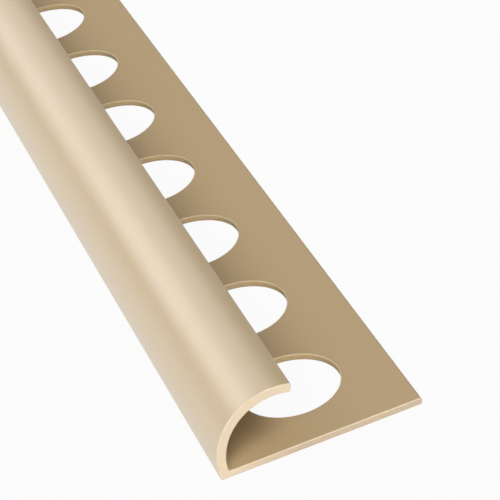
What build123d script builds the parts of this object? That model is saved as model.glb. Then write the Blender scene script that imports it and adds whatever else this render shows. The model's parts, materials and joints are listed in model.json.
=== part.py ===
"""Quarter-round PVC tile trim: one length of extruded profile with a punched flange.

The section is a rounded nosing that springs from a thin flange. The flange beds in
tile adhesive, which squeezes up through a row of round holes and keys the trim to
the wall. The nosing covers the cut edge of the tile, which butts against its lip.

The trim lies on the flat underside of its flange. X runs across the flange, away from
the nosing, Y along the length and Z up. The origin is the middle of the underside.
All sizes are in millimetres and degrees.
"""

import math
import os

from build123d import *

# The length of stock, and the depth of tile that the section is made for
length = 1000.0
height = 10.0

# The nosing: a short straight foot above the flange, then a bend past its crown to the lip
nosing_wall = 1.2
foot_rise = 0.7
lip_overrun = 17.0
lip_round = 0.3
foot_round = 0.4
root_fillet = 0.3

# The flange, with its long free edge rounded off by the die
flange_thickness = 0.9
flange_edge_round = 0.3

# The punched holes, and the flange left round them: on the nosing's side, on the free
# edge's side, between neighbours, and at least this much at each sawn end
hole_diameter = 12.5
inner_strip = 5.75
edge_strip = 6.35
hole_bridge = 6.65
least_end_strip = 5.0

# A rounding may take this share of the straight edge that it rounds off
rounding_share = 0.9

# The section, worked out from the sizes above
width = nosing_wall + inner_strip + hole_diameter + edge_strip
outer_face = -width / 2
free_edge = width / 2
foot_height = flange_thickness + foot_rise
bend_radius = height - foot_height
bend_centre = (outer_face + bend_radius, foot_height)
bend_angle = 90 + lip_overrun

# The row of holes, centred on the length
hole_row = free_edge - edge_strip - hole_diameter / 2
hole_pitch = hole_diameter + hole_bridge
row_room = length - hole_diameter - 2 * least_end_strip
hole_count = math.floor(row_room / hole_pitch) + 1

with BuildPart() as tile_trim:
    # The section that the die leaves, drawn across the length
    with BuildSketch(Plane.XZ) as section:
        with BuildLine():
            outer_bend = CenterArc(bend_centre, bend_radius, 180, -bend_angle)
            inner_bend = CenterArc(bend_centre, bend_radius - nosing_wall, 180, -bend_angle)
            lip = Line(outer_bend @ 1, inner_bend @ 1)
            root = (outer_face + nosing_wall, flange_thickness)
            foot = (outer_face, 0)
            Polyline(inner_bend @ 0, root, (free_edge, flange_thickness), (free_edge, 0), foot, outer_bend @ 0)
        make_face()
        lip_corners = [section.vertices().sort_by_distance(lip @ end)[0] for end in (0, 1)]
        fillet(lip_corners, min(lip_round, rounding_share * nosing_wall / 2))
        edge_corners = section.vertices().group_by(Axis.X)[-1]
        fillet(edge_corners, min(flange_edge_round, rounding_share * flange_thickness / 2))
        foot_corner = section.vertices().sort_by_distance(foot)[0]
        fillet(foot_corner, min(foot_round, rounding_share * foot_height))
        root_corner = section.vertices().sort_by_distance(root)[0]
        fillet(root_corner, min(root_fillet, rounding_share * foot_rise))
    extrude(amount=length / 2, both=True)

    # The punch comes up through the flange alone and stops short of the nosing above it
    with BuildSketch(Plane.XY):
        with Locations((hole_row, 0)):
            with GridLocations(hole_pitch, hole_pitch, 1, hole_count):
                Circle(hole_diameter / 2)
    extrude(amount=flange_thickness, mode=Mode.SUBTRACT)

tile_trim.part.label = "tile_trim"
os.makedirs("parts", exist_ok=True)
export_step(tile_trim.part, "parts/tile_trim.step")
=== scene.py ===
import json
import math

import bmesh
import bpy
from mathutils import Matrix, Vector


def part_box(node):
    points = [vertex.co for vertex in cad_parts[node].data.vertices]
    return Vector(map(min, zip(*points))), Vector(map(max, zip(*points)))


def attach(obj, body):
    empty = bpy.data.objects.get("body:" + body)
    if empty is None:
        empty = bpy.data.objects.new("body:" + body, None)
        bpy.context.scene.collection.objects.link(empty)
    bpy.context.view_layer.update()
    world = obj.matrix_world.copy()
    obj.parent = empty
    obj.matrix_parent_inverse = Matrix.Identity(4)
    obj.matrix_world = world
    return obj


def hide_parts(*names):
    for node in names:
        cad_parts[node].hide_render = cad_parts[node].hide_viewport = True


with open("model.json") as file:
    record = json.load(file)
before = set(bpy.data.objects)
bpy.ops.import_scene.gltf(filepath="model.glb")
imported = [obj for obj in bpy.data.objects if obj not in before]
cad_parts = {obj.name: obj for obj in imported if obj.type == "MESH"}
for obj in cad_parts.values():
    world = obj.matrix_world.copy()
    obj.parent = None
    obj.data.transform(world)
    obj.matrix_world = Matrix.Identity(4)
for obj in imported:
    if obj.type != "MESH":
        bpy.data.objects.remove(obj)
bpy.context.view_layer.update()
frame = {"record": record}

# The trim: one length of stiff beige PVC, pushed through a die and cooled in a sizing block, so
# its section is the same all along. A press then punches the row of holes that keys the flange
# into the tile adhesive, and a fine saw cuts both ends square.
MM = 0.001
low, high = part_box("tile_trim")
holes = [mount for mount in frame["record"]["mounts"] if mount["kind"] == "bore"]
hole_radius = holes[0]["dims"]["r_mm"] * MM
flange_thickness = holes[0]["dims"]["length_mm"] * MM
row_x, first_hole_y, _ = holes[0]["pos_m"]
last_hole_y = holes[-1]["pos_m"][1]

# The holes are numbered along the length, so the last one's number is their count
hole_count = int(holes[-1]["name"].split("_")[-1])
hole_pitch = (last_hole_y - first_hole_y) / (hole_count - 1)

# What the die gives the section, and what the punch and the saw leave at their edges
nosing_wall = 1.2 * MM
foot_rise = 0.7 * MM
lip_overrun = 17.0
lip_round = 0.3 * MM
foot_round = 0.4 * MM
root_fillet = 0.3 * MM
flange_edge_round = 0.3 * MM
rim_roll = 0.14 * MM
saw_ease = 0.13 * MM

# How finely the curves are drawn
bend_steps = 48
round_steps = 6
rim_steps = 3
ease_steps = 3
hole_sides = 72

foot_height = flange_thickness + foot_rise
bend_radius = high.z - foot_height
hollow_radius = bend_radius - nosing_wall
bend_centre = (low.x + bend_radius, foot_height)


def on_circle(centre, radius, turn):
    """A point of a circle across the section, at a turn in degrees from +X towards +Z."""
    angle = math.radians(turn)
    return centre[0] + radius * math.cos(angle), centre[1] + radius * math.sin(angle)


def arc(centre, radius, start, end, steps):
    """Points along a circle across the section, from one turn to another."""
    return [on_circle(centre, radius, start + (end - start) * k / steps) for k in range(steps + 1)]


# Each corner of the lip is a small circle that touches the bend and the lip's end face
lip_turn = 90 - lip_overrun
lower_reach = hollow_radius + lip_round
lower_turn = lip_turn + math.degrees(math.asin(lip_round / lower_reach))
lower_centre = on_circle(bend_centre, lower_reach, lower_turn)
upper_reach = bend_radius - lip_round
upper_turn = lip_turn + math.degrees(math.asin(lip_round / upper_reach))
upper_centre = on_circle(bend_centre, upper_reach, upper_turn)


def free_edge(inset):
    """The flange's free edge, from its underside round to its top, this far below the skin."""
    x = high.x - flange_edge_round
    upper_z = flange_thickness - flange_edge_round
    lower = arc((x, flange_edge_round), flange_edge_round - inset, -90, 0, round_steps)
    upper = arc((x, upper_z), flange_edge_round - inset, 0, 90, round_steps)
    return lower + upper


def hollow(inset):
    """The hollow side of the nosing, from the flange's top up to the lip."""
    root_centre = (low.x + nosing_wall + root_fillet, flange_thickness + root_fillet)
    root = arc(root_centre, root_fillet + inset, 270, 180, round_steps)
    bend = arc(bend_centre, hollow_radius + inset, 180, lower_turn, bend_steps)
    return root + bend[:-1]


def show_face(inset):
    """The side that stays in sight once the tile is laid: the lip, the outer bend and the foot."""
    lip = arc(lower_centre, lip_round - inset, lower_turn + 180, lip_turn + 270, round_steps)
    lip += arc(upper_centre, lip_round - inset, lip_turn - 90, upper_turn, round_steps)
    bend = arc(bend_centre, bend_radius - inset, upper_turn, 180, bend_steps)
    foot = arc((low.x + foot_round, foot_round), foot_round - inset, 180, 270, round_steps)
    return lip + bend[1:] + foot


# The number of the first corner of each stretch, counted round the outline from the free edge
hollow_start = len(free_edge(0))
show_start = hollow_start + len(hollow(0))


def new_skin():
    """An empty mesh whose faces can be marked for their finish."""
    mesh = bmesh.new()
    for mark in ("polished", "sawn", "punched"):
        mesh.faces.layers.bool.new(mark)
    return mesh


def add_ring(mesh, y, inset=0.0):
    """The corners of the whole outline at one place along the length."""
    outline = free_edge(inset) + hollow(inset) + show_face(inset)
    return [mesh.verts.new((x, y, z)) for x, z in outline]


def add_strips(mesh, rings, gaps=()):
    """Joins rings of the outline along the length, but for the strips that end at a gap."""
    polished = mesh.faces.layers.bool["polished"]
    for ring, following in zip(rings, rings[1:]):
        for k in range(len(ring)):
            if k not in gaps:
                strip = mesh.faces.new((ring[k - 1], following[k - 1], following[k], ring[k]))
                strip[polished] = k > show_start


# One pitch of the punched trim, with its hole at the middle. The flange's underside is the
# strip of the outline that ends at corner 0, and its top the one that ends at the hollow.
pitch = new_skin()
before, across, after = [add_ring(pitch, y) for y in (-hole_pitch / 2, 0, hole_pitch / 2)]
add_strips(pitch, [before, across, after], gaps=(0, hollow_start))

rim_radius = hole_radius + rim_roll
wall_profile = arc((rim_radius, rim_roll), rim_roll, 270, 180, rim_steps)
wall_profile += arc((rim_radius, flange_thickness - rim_roll), rim_roll, 180, 90, rim_steps)
hole = []
for radius, z in wall_profile:
    circle = [on_circle((row_x, 0), radius, 360 * k / hole_sides) for k in range(hole_sides)]
    hole.append([pitch.verts.new((x, y, z)) for x, y in circle])
punched = pitch.faces.layers.bool["punched"]
for lower, upper in zip(hole, hole[1:]):
    for k in range(hole_sides):
        wall = pitch.faces.new((lower[k - 1], upper[k - 1], upper[k], lower[k]))
        wall[punched] = True

# The flange round the hole, below and above, as two halves that meet on both sides of it
half = hole_sides // 2
below = (hole[0], 0, -1, False)
above = (hole[-1], hollow_start - 1, hollow_start, True)
for rim, edge, root, looks_up in (below, above):
    for start, end_ring, first, last in ((0, after, root, edge), (half, before, edge, root)):
        bow = [rim[(start + k) % hole_sides] for k in range(half + 1)]
        loop = [*bow, across[first], end_ring[first], end_ring[last], across[last]]
        pitch.faces.new(reversed(loop) if looks_up else loop)

# The two sawn ends, each with its sharp edges eased by a scraper
ends = new_skin()
ease_turns = [math.radians(90 * k / ease_steps) for k in range(ease_steps + 1)]
eased = [(saw_ease * (1 - math.cos(turn)), saw_ease * (1 - math.sin(turn))) for turn in ease_turns]
near_rings = [add_ring(ends, low.y + depth, inset) for depth, inset in eased]
near_rings.append(add_ring(ends, first_hole_y - hole_pitch / 2))
far_rings = [add_ring(ends, high.y - depth, inset) for depth, inset in eased]
far_rings.append(add_ring(ends, last_hole_y + hole_pitch / 2))
add_strips(ends, near_rings)
add_strips(ends, far_rings[::-1])
ends.faces.new(near_rings[0])
ends.faces.new(reversed(far_rings[0]))
ends.normal_update()
sawn = ends.faces.layers.bool["sawn"]
least_slant = 0.1
for face in ends.faces:
    face[sawn] = abs(face.normal.y) > least_slant


def add(tree, kind, inputs=None, **settings):
    """Adds a node, sets or links its inputs (several from a list), and returns its outputs."""
    made = tree.nodes.new(kind)
    for name, value in settings.items():
        setattr(made, name, value)
    for socket, value in (inputs or {}).items():
        for each in value if isinstance(value, list) else [value]:
            if isinstance(each, bpy.types.NodeSocket):
                tree.links.new(each, made.inputs[socket])
            else:
                made.inputs[socket].default_value = each
    return made.outputs


# The sockets of a blend of two colours: the second one's share, both colours, and the result
blend_share = 0
blend_first = 6
blend_second = 7
blend_result = 2


def linear(hex_colour):
    """The linear colour of an sRGB hex value, as shaders take it."""
    shares = [int(hex_colour[k:k + 2], 16) / 255 for k in (1, 3, 5)]
    return (*(s / 12.92 if s <= 0.04045 else ((s + 0.055) / 1.055) ** 2.4 for s in shares), 1.0)


def new_material(name):
    """An empty node material and its tree."""
    material = bpy.data.materials.new(name)
    material.use_nodes = True
    material.node_tree.nodes.clear()
    return material, material.node_tree


# Rigid PVC as the die leaves it: an even beige, with faint lines drawn along the length and a
# gloss that clouds a little where the sizing block held it less firmly. The nosing leaves the
# block with a clear satin polish, and the flange and the hollow, which it passes by, stay matt.
pvc_ior = 1.53

# The lines are drawn coarser than a real die's, so that they show. The polish has a higher index
# than bare PVC, for a bright line along the nosing and no pale edge beside it.
die_line = 0.3 * MM
die_line_run = 150 * MM
die_line_depth = 0.003 * MM
polish_ior = 1.8
polish_roughness = 0.36

# The clouds in the gloss, and the shares of the noise that count as the thinnest and the thickest
cloud = 9 * MM
cloud_run = 60 * MM
thin_cloud = 0.3
thick_cloud = 0.7


def streaks(tree, place, runs, detail=2.0):
    """Noise that is about as long as these runs along X, Y and Z."""
    scale = tuple(1 / run for run in runs)
    stretched = add(tree, "ShaderNodeMapping", {"Vector": place, "Scale": scale})[0]
    noise = {"Vector": stretched, "Scale": 1.0, "Detail": detail}
    return add(tree, "ShaderNodeTexNoise", noise)[0]


def dress(tree, tone, marks, depth, surface):
    """Ends a PVC material: its tone, its marks as relief this deep, and its gloss."""
    relief = {"Height": marks, "Strength": 1.0, "Distance": depth}
    raised = add(tree, "ShaderNodeBump", relief)[0]
    pvc = {"Base Color": tone, "IOR": pvc_ior, "Normal": raised, **surface}
    shader = add(tree, "ShaderNodeBsdfPrincipled", pvc)[0]
    add(tree, "ShaderNodeOutputMaterial", {"Surface": shader})


def extruded_pvc(name, darker, lighter, smoothest, roughest, specular, polish):
    """The die's own skin, clouded between two tones and two roughnesses."""
    material, tree = new_material(name)
    place = add(tree, "ShaderNodeTexCoord")["Object"]
    lines = streaks(tree, place, (die_line, die_line_run, die_line))
    clouds = streaks(tree, place, (cloud, cloud_run, cloud), detail=3.0)
    beiges = {blend_share: clouds, blend_first: linear(darker), blend_second: linear(lighter)}
    tone = add(tree, "ShaderNodeMix", beiges, data_type="RGBA")[blend_result]
    gloss_range = {
        "Value": clouds,
        "From Min": thin_cloud,
        "From Max": thick_cloud,
        "To Min": smoothest,
        "To Max": roughest,
    }
    surface = {
        "Roughness": add(tree, "ShaderNodeMapRange", gloss_range)[0],
        "Specular IOR Level": specular,
        "Coat Weight": polish,
        "Coat Roughness": polish_roughness,
        "Coat IOR": polish_ior,
    }
    dress(tree, tone, lines, die_line_depth, surface)
    return material


matt = extruded_pvc(
    "matt_pvc",
    darker="#BDA47C",
    lighter="#C3AA83",
    smoothest=0.6,
    roughest=0.68,
    specular=0.3,
    polish=0.0,
)
satin = extruded_pvc(
    "satin_pvc",
    darker="#C4AD87",
    lighter="#CAB38E",
    smoothest=0.37,
    roughest=0.43,
    specular=0.9,
    polish=0.55,
)

# The same PVC where the saw went through: paler and rougher, with fine marks across the cut.
# The thin flange's cut is painted darker up to the eased edge, a painted shade that deepens
# away from the nosing.
saw_mark = 0.2 * MM
saw_mark_run = 6 * MM
saw_mark_depth = 0.004 * MM
sawn_roughness = 0.6
shade_ramp_from = low.x + nosing_wall
shade_ramp_full = bend_centre[0] + nosing_wall
shade_top = flange_thickness - saw_ease
eased_from = shade_top + saw_ease / 2

cut, tree = new_material("sawn_pvc")
place = add(tree, "ShaderNodeTexCoord")["Object"]
marks = streaks(tree, place, (saw_mark_run, saw_mark, saw_mark))
pale = {blend_share: marks, blend_first: linear("#D5C0A4"), blend_second: linear("#DDCAAD")}
tone = add(tree, "ShaderNodeMix", pale, data_type="RGBA")[blend_result]
spot = add(tree, "ShaderNodeSeparateXYZ", {"Vector": place})
outward = {"Value": spot["X"], "From Min": shade_ramp_from, "From Max": shade_ramp_full}
shade_outward = add(tree, "ShaderNodeMapRange", outward)[0]
downward = {"Value": spot["Z"], "From Min": eased_from, "From Max": shade_top}
shade_below_edge = add(tree, "ShaderNodeMapRange", downward)[0]
# Painted shade on the flange's cut: darker away from the nosing and below the eased edge
painted_cut_shade = add(tree, "ShaderNodeMath", {0: shade_outward, 1: shade_below_edge}, operation="MULTIPLY")[0]
shaded_cut = {blend_share: painted_cut_shade, blend_first: tone, blend_second: linear("#C1AC90")}
tone = add(tree, "ShaderNodeMix", shaded_cut, data_type="RGBA")[blend_result]
dress(tree, tone, marks, saw_mark_depth, {"Roughness": sawn_roughness})

# The wall of a punched hole: sheared clean, so it is dull, with fine scores through the thickness
# that are drawn coarse enough to show. Along the top rim the colour is painted lighter, a painted
# highlight where the rounded rim catches the light.
score = 0.25 * MM
score_run = 2 * MM
score_depth = 0.004 * MM
sheared_roughness = 0.6
sheared_specular = 0.12
rim_start = flange_thickness - rim_roll
rim_highlight_from = rim_start + rim_roll / 2

sheared, tree = new_material("punched_pvc")
place = add(tree, "ShaderNodeTexCoord")["Object"]
scores = streaks(tree, place, (score, score, score_run))
fresh = {blend_share: scores, blend_first: linear("#B89E76"), blend_second: linear("#C3AB83")}
tone = add(tree, "ShaderNodeMix", fresh, data_type="RGBA")[blend_result]
height = add(tree, "ShaderNodeSeparateXYZ", {"Vector": place})["Z"]
to_rim_highlight = {"Value": height, "From Min": rim_start, "From Max": rim_highlight_from}
painted_rim_highlight = add(tree, "ShaderNodeMapRange", to_rim_highlight)[0]
# Painted highlight: the wall's colour turns lighter towards the top rim
highlighted_rim = {blend_share: painted_rim_highlight, blend_first: tone, blend_second: linear("#D6C29E")}
tone = add(tree, "ShaderNodeMix", highlighted_rim, data_type="RGBA")[blend_result]
dull = {"Roughness": sheared_roughness, "Specular IOR Level": sheared_specular}
dress(tree, tone, scores, score_depth, dull)


def new_object(name, mesh):
    """An object at the origin that holds a finished mesh, all of it matt at first."""
    data = bpy.data.meshes.new(name)
    mesh.to_mesh(data)
    mesh.free()
    data.materials.append(matt)
    made = bpy.data.objects.new(name, data)
    bpy.context.scene.collection.objects.link(made)
    return made


# The pitches are laid end to end between the two sawn ends and joined into one skin
trim = new_object("trim_length", pitch)
sawn_ends = new_object("sawn_ends", ends)
join_within = 0.001 * MM
sharp_from = math.radians(40)

tree = bpy.data.node_groups.new("row_of_punched_pitches", "GeometryNodeTree")
tree.interface.new_socket("Geometry", in_out="OUTPUT", socket_type="NodeSocketGeometry")
tree.interface.new_socket("Punched pitch", in_out="INPUT", socket_type="NodeSocketGeometry")
row_inputs = {
    "Sawn ends": ("NodeSocketObject", sawn_ends),
    "First hole": ("NodeSocketFloat", first_hole_y),
    "Hole pitch": ("NodeSocketFloat", hole_pitch),
    "Hole count": ("NodeSocketInt", hole_count),
    "Flange and hollow": ("NodeSocketMaterial", matt),
    "Show face": ("NodeSocketMaterial", satin),
    "Saw cut": ("NodeSocketMaterial", cut),
    "Hole wall": ("NodeSocketMaterial", sheared),
}
row = trim.modifiers.new("row of punched pitches", "NODES")
for name, (kind, _) in row_inputs.items():
    tree.interface.new_socket(name, in_out="INPUT", socket_type=kind)
row.node_group = tree
for socket in tree.interface.items_tree:
    if socket.name in row_inputs:
        row[socket.identifier] = row_inputs[socket.name][1]

given = add(tree, "NodeGroupInput")
first_centre = add(tree, "ShaderNodeCombineXYZ", {"Y": given["First hole"]})[0]
step = add(tree, "ShaderNodeCombineXYZ", {"Y": given["Hole pitch"]})[0]
line = {"Count": given["Hole count"], "Start Location": first_centre, "Offset": step}
centres = add(tree, "GeometryNodeMeshLine", line)["Mesh"]
pitches = {"Points": centres, "Instance": given["Punched pitch"]}
laid = add(tree, "GeometryNodeInstanceOnPoints", pitches)["Instances"]
both_ends = add(tree, "GeometryNodeObjectInfo", {"Object": given["Sawn ends"]})["Geometry"]
all_parts = add(tree, "GeometryNodeJoinGeometry", {"Geometry": [laid, both_ends]})[0]
whole = add(tree, "GeometryNodeRealizeInstances", {"Geometry": all_parts})[0]
whole = add(tree, "GeometryNodeMergeByDistance", {"Geometry": whole, "Distance": join_within})[0]
whole = add(tree, "GeometryNodeSetShadeSmooth", {"Geometry": whole, "Shade Smooth": True})[0]
angle = add(tree, "GeometryNodeInputMeshEdgeAngle")["Unsigned Angle"]
sharp = add(tree, "FunctionNodeCompare", {"A": angle, "B": sharp_from}, operation="GREATER_THAN")[0]
crisp = {"Geometry": whole, "Selection": sharp, "Shade Smooth": False}
whole = add(tree, "GeometryNodeSetShadeSmooth", crisp, domain="EDGE")[0]
dressed = {"Geometry": whole, "Material": given["Flange and hollow"]}
whole = add(tree, "GeometryNodeSetMaterial", dressed)[0]
for mark, finish in (("polished", "Show face"), ("sawn", "Saw cut"), ("punched", "Hole wall")):
    marked = add(tree, "GeometryNodeInputNamedAttribute", {"Name": mark}, data_type="BOOLEAN")[0]
    dressed = {"Geometry": whole, "Selection": marked, "Material": given[finish]}
    whole = add(tree, "GeometryNodeSetMaterial", dressed)[0]
add(tree, "NodeGroupOutput", {"Geometry": whole})

# Flat faces keep their own normals where they run into a rounding
even = trim.modifiers.new("even shading", "WEIGHTED_NORMAL")
even.keep_sharp = True
shaped = trim.evaluated_get(bpy.context.evaluated_depsgraph_get())
trim.data = bpy.data.meshes.new_from_object(shaped)
trim.modifiers.clear()
bpy.data.objects.remove(sawn_ends)

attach(trim, "root")
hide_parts("tile_trim")

# The floor: a wide sheet of pale grey paper that the trim lies on. It shows almost white, as the
# cove behind it does, and keeps a faint shadow.
floor_reach = 10.0
floor_gap = 0.05 * MM
floor_white = 0.94

floor_z = low.z - floor_gap
floor_mesh = bpy.data.meshes.new("floor")
quarters = ((-1, -1), (1, -1), (1, 1), (-1, 1))
corners = [(x * floor_reach, y * floor_reach, floor_z) for x, y in quarters]
floor_mesh.from_pydata(corners, [], [(0, 1, 2, 3)])
floor = bpy.data.objects.new("floor", floor_mesh)
bpy.context.scene.collection.objects.link(floor)

paper, tree = new_material("pale_paper")
rays = add(tree, "ShaderNodeLightPath")
seen = rays["Is Camera Ray"]
for mirrored in (rays["Is Glossy Ray"], rays["Is Transmission Ray"]):
    seen = add(tree, "ShaderNodeMath", {0: seen, 1: mirrored}, operation="MAXIMUM")[0]
share = add(tree, "ShaderNodeMath", {0: seen, 1: floor_white}, operation="MULTIPLY")[0]
sheet = add(tree, "ShaderNodeBsdfDiffuse", {"Color": linear("#C4C4C2")})[0]
glow = add(tree, "ShaderNodeEmission", {"Color": linear("#FFFFFF"), "Strength": 1.0})[0]
blended = add(tree, "ShaderNodeMixShader", {"Fac": share, 1: sheet, 2: glow})[0]
add(tree, "ShaderNodeOutputMaterial", {"Surface": blended})
floor_mesh.materials.append(paper)

# The studio: a cove that is white at the horizon and dims overhead, on the right and at the back,
# with round softboxes about the near end. The low one in front lights the sawn end and the hole
# walls, and the one at the back left is the highlight that runs along the nosing.
world = bpy.data.worlds.new("studio")
world.use_nodes = True
tree = world.node_tree
tree.nodes.clear()
heading = add(tree, "ShaderNodeTexCoord")["Generated"]
along = add(tree, "ShaderNodeSeparateXYZ", {"Vector": heading})

# How far a direction points up, right or back where the cove begins to dim and where it is
# dimmest, and the level that is left there
cove_rise = math.sin(math.radians(37))
dimming = {"Z": (0.0, cove_rise, 0.1), "X": (0.2, 0.9, 0.4), "Y": (0.4, 0.85, 0.4)}
brightness = 1.0
for axis, (begin, end, dimmest) in dimming.items():
    fade = {
        "Value": along[axis],
        "From Min": begin,
        "From Max": end,
        "To Min": 1.0,
        "To Max": dimmest,
    }
    remaining = add(tree, "ShaderNodeMapRange", fade, interpolation_type="SMOOTHSTEP")[0]
    dimmed = {0: brightness, 1: remaining}
    brightness = add(tree, "ShaderNodeMath", dimmed, operation="MULTIPLY")[0]
white = {"Color": linear("#FFFFFF"), "Strength": brightness}
cove = add(tree, "ShaderNodeBackground", white)[0]
add(tree, "ShaderNodeOutputWorld", {"Surface": cove})
bpy.context.scene.world = world

# Each softbox by its bearing clockwise from straight behind the near end, its height in degrees,
# its level, which is what it gives a white card that faces it, and its width in metres
near_end = Vector((0, low.y, 0))
softbox_distance = 5.0
softboxes = {
    "front": (180, 14, 0.38, 2.3),
    "key": (208, 42, 0.5, 3.2),
    "left": (285, 14, 0.245, 2.3),
    "nosing": (335, 29, 0.16, 2.3),
    "back": (1, 34, 0.08, 2.3),
    "top": (150, 62, 0.28, 2.3),
}
for name, (bearing, climb, level, width) in softboxes.items():
    around = Matrix.Rotation(math.radians(-bearing), 3, "Z")
    lift = Matrix.Rotation(math.radians(climb), 3, "X")
    offset = around @ lift @ Vector((0, softbox_distance, 0))
    lamp = bpy.data.lights.new(name + "_softbox", "AREA")
    lamp.shape = "DISK"
    lamp.size = width
    lamp.energy = level * (math.pi * softbox_distance) ** 2
    softbox = bpy.data.objects.new(name + "_softbox", lamp)
    softbox.location = near_end + offset
    softbox.rotation_euler = offset.to_track_quat("Z", "Y").to_euler()
    softbox.visible_camera = False
    bpy.context.scene.collection.objects.link(softbox)

# The camera: above the near end on the nosing's side, rolled so that the length runs up to the
# left and out of the picture
camera_aim = Vector((6.47, -455.57, 0.0)) * MM
camera_distance = 322.06 * MM
camera_azimuth = 12.1575
camera_elevation = 32.294
camera_roll = -13.5566
camera_lens = 174.277
camera_sensor = 36.0

turn = Matrix.Rotation(math.radians(-camera_azimuth), 4, "Z")
tilt = Matrix.Rotation(math.radians(90 - camera_elevation), 4, "X")
roll = Matrix.Rotation(math.radians(camera_roll), 4, "Z")
facing = turn @ tilt @ roll
camera_place = camera_aim + facing.to_3x3() @ Vector((0, 0, camera_distance))
view = bpy.data.cameras.new("photo_view")
view.lens = camera_lens
view.sensor_width = camera_sensor
camera = bpy.data.objects.new("photo_view", view)
camera.matrix_world = Matrix.Translation(camera_place) @ facing
bpy.context.scene.collection.objects.link(camera)
bpy.context.scene.camera = camera
bpy.context.scene.view_settings.view_transform = "Standard"
